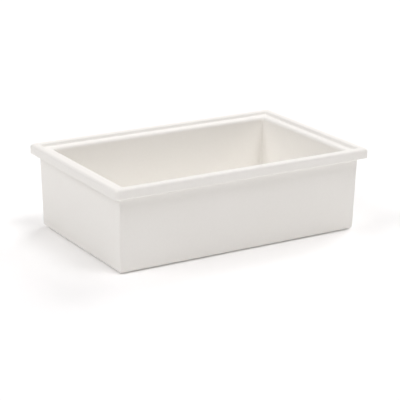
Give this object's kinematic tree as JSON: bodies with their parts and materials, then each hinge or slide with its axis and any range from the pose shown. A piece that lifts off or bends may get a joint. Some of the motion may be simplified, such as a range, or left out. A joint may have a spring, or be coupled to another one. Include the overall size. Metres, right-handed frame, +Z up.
{
  "type": "developing tray",
  "caption": "Deep one-piece developing tray: an open rectangular tub with tapering walls, an overhanging banded rim and a ledge just inside the rim.",
  "frame": {"origin": "centre of the underside, on the surface that the tray stands on", "axes": "+X along the long side, +Y across the tray, +Z up out of the open top"},
  "size_m": [0.4, 0.254, 0.12],
  "materials": {
    "tray_plastic": "satin ivory-white moulded plastic"
  },
  "bodies": {
    "root": {"tray_body": "tray_plastic"}
  },
  "joints": []
}
